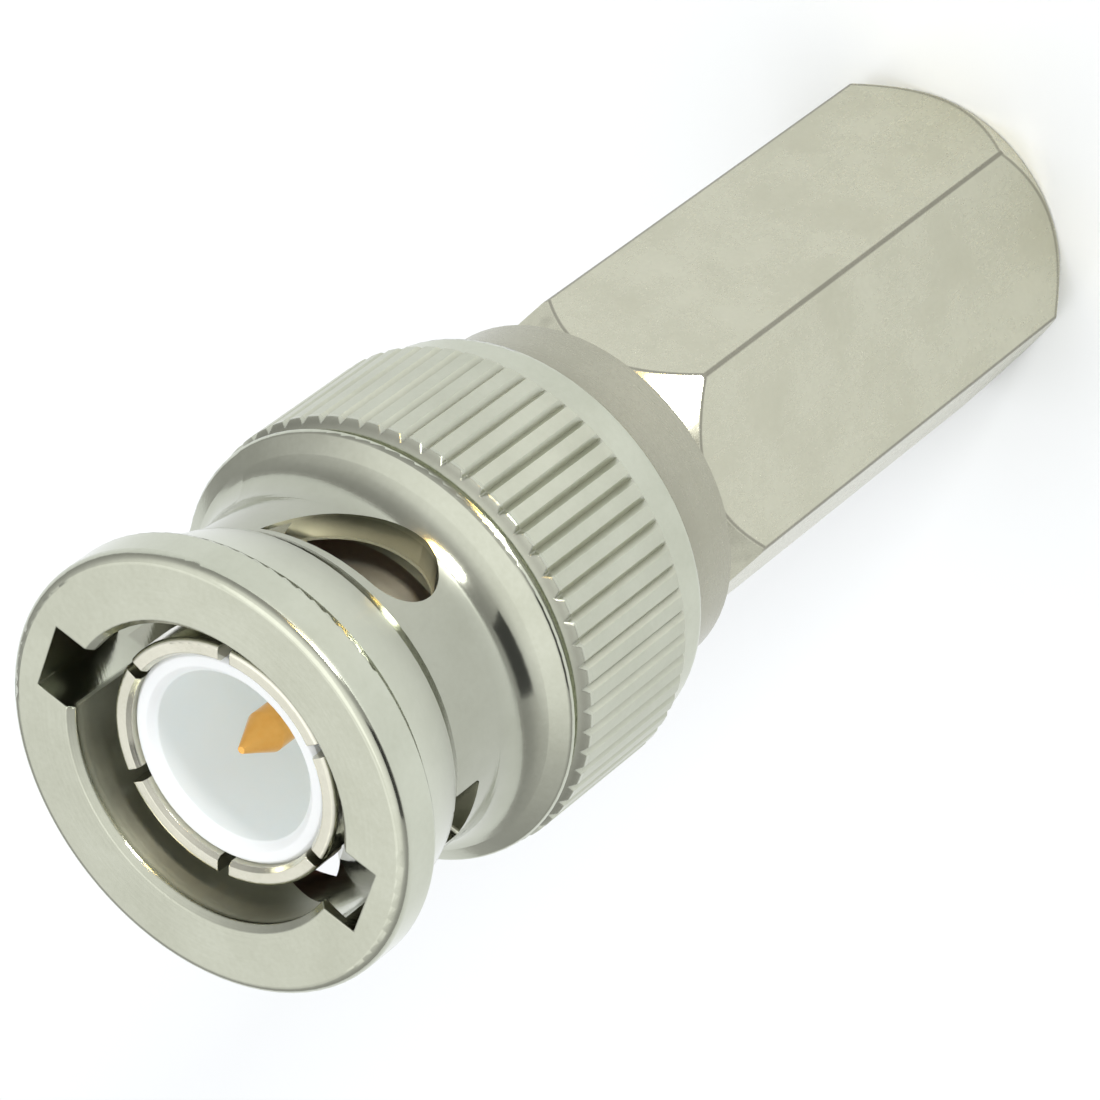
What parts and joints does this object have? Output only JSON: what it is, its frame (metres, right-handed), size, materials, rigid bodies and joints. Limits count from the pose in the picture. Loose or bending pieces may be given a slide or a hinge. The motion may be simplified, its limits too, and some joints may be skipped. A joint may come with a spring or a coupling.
{
  "type": "bayonet coaxial connector",
  "caption": "Male bayonet coaxial plug with a knurled turning sleeve, slotted contact, centre pin and hexagonal twist-on cable barrel.",
  "frame": {"origin": "centre of the flat rear end of the hexagonal barrel, on which the plug stands", "axes": "+Z along the plug's axis towards the mating face, with the locked stud position 20 degrees round from -Y towards +X"},
  "size_m": [0.0146, 0.0146, 0.0392],
  "materials": {
    "nickel_sleeve": "nickel plate on turned brass, satin",
    "nickel_contact": "nickel plate on brass, bright",
    "nickel_barrel": "nickel plate on hexagonal brass bar, satin",
    "gold_plate": "gold plate, bright",
    "white_insulator": "milky white, smooth",
    "silicone": "soft silicone, matte",
    "washer_steel": "bright spring steel"
  },
  "bodies": {
    "body": {"contact_body": "nickel_contact", "gasket": "silicone", "front_insulator": "white_insulator", "rear_insulator": "white_insulator", "centre_pin": "gold_plate", "retaining_collar": "nickel_barrel", "hex_barrel": "nickel_barrel", "wave_washer": "washer_steel"},
    "slider": {"thrust_washer": "washer_steel"},
    "sleeve": {"coupling_sleeve": "nickel_sleeve"}
  },
  "joints": [
    {"name": "coupling_pull", "type": "slide", "parent": "body", "child": "slider", "axis": [0, 0, 1], "range_m": [0, 0.0006], "stiffness_N_per_m": 8000, "springref_m": -0.0005, "deforming": ["wave_washer"]},
    {"name": "coupling_spin", "type": "hinge", "parent": "slider", "child": "sleeve", "pos_m": [0, 0, 0.03], "axis": [0, 0, 1], "continuous": true}
  ]
}
